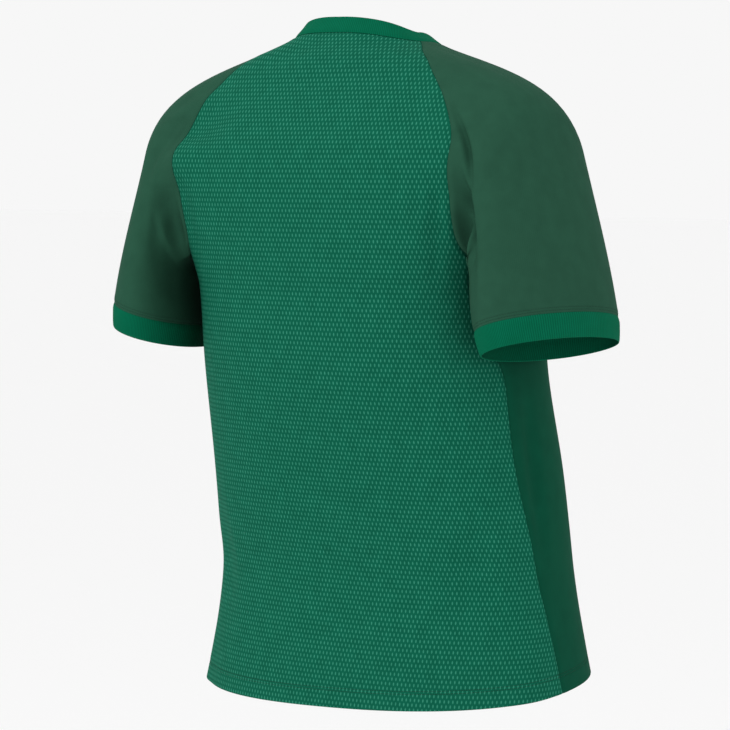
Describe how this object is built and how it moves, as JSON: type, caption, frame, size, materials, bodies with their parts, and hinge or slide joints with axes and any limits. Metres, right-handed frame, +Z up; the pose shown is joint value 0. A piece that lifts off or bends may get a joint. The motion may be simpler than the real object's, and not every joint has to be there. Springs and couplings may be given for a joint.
{
  "type": "football jersey",
  "caption": "Short-sleeved football jersey with raglan sleeves, mesh back and front, plain side panels and a ribbed collar and cuffs, filled out as when worn, open and empty inside.",
  "frame": {"origin": "middle of the neck opening, level with the collar seam at the sides of the neck", "axes": "+Z up from hem to collar, -Y out of the chest, +Y out of the back, +X to the wearer's left"},
  "size_m": [0.5928, 0.3578, 0.7337],
  "materials": {
    "mesh_knit": "matte polyester mesh knit, two greens",
    "plain_knit": "smooth matte polyester knit",
    "sleeve_knit": "smooth matte polyester knit, greyish green",
    "rib_knit": "matte ribbed knit"
  },
  "bodies": {
    "root": {"back": "mesh_knit", "front": "mesh_knit", "side_panel_left": "plain_knit", "side_panel_right": "plain_knit", "sleeve_left": "sleeve_knit", "sleeve_right": "sleeve_knit", "cuff_left": "rib_knit", "cuff_right": "rib_knit", "collar": "rib_knit"}
  },
  "joints": []
}
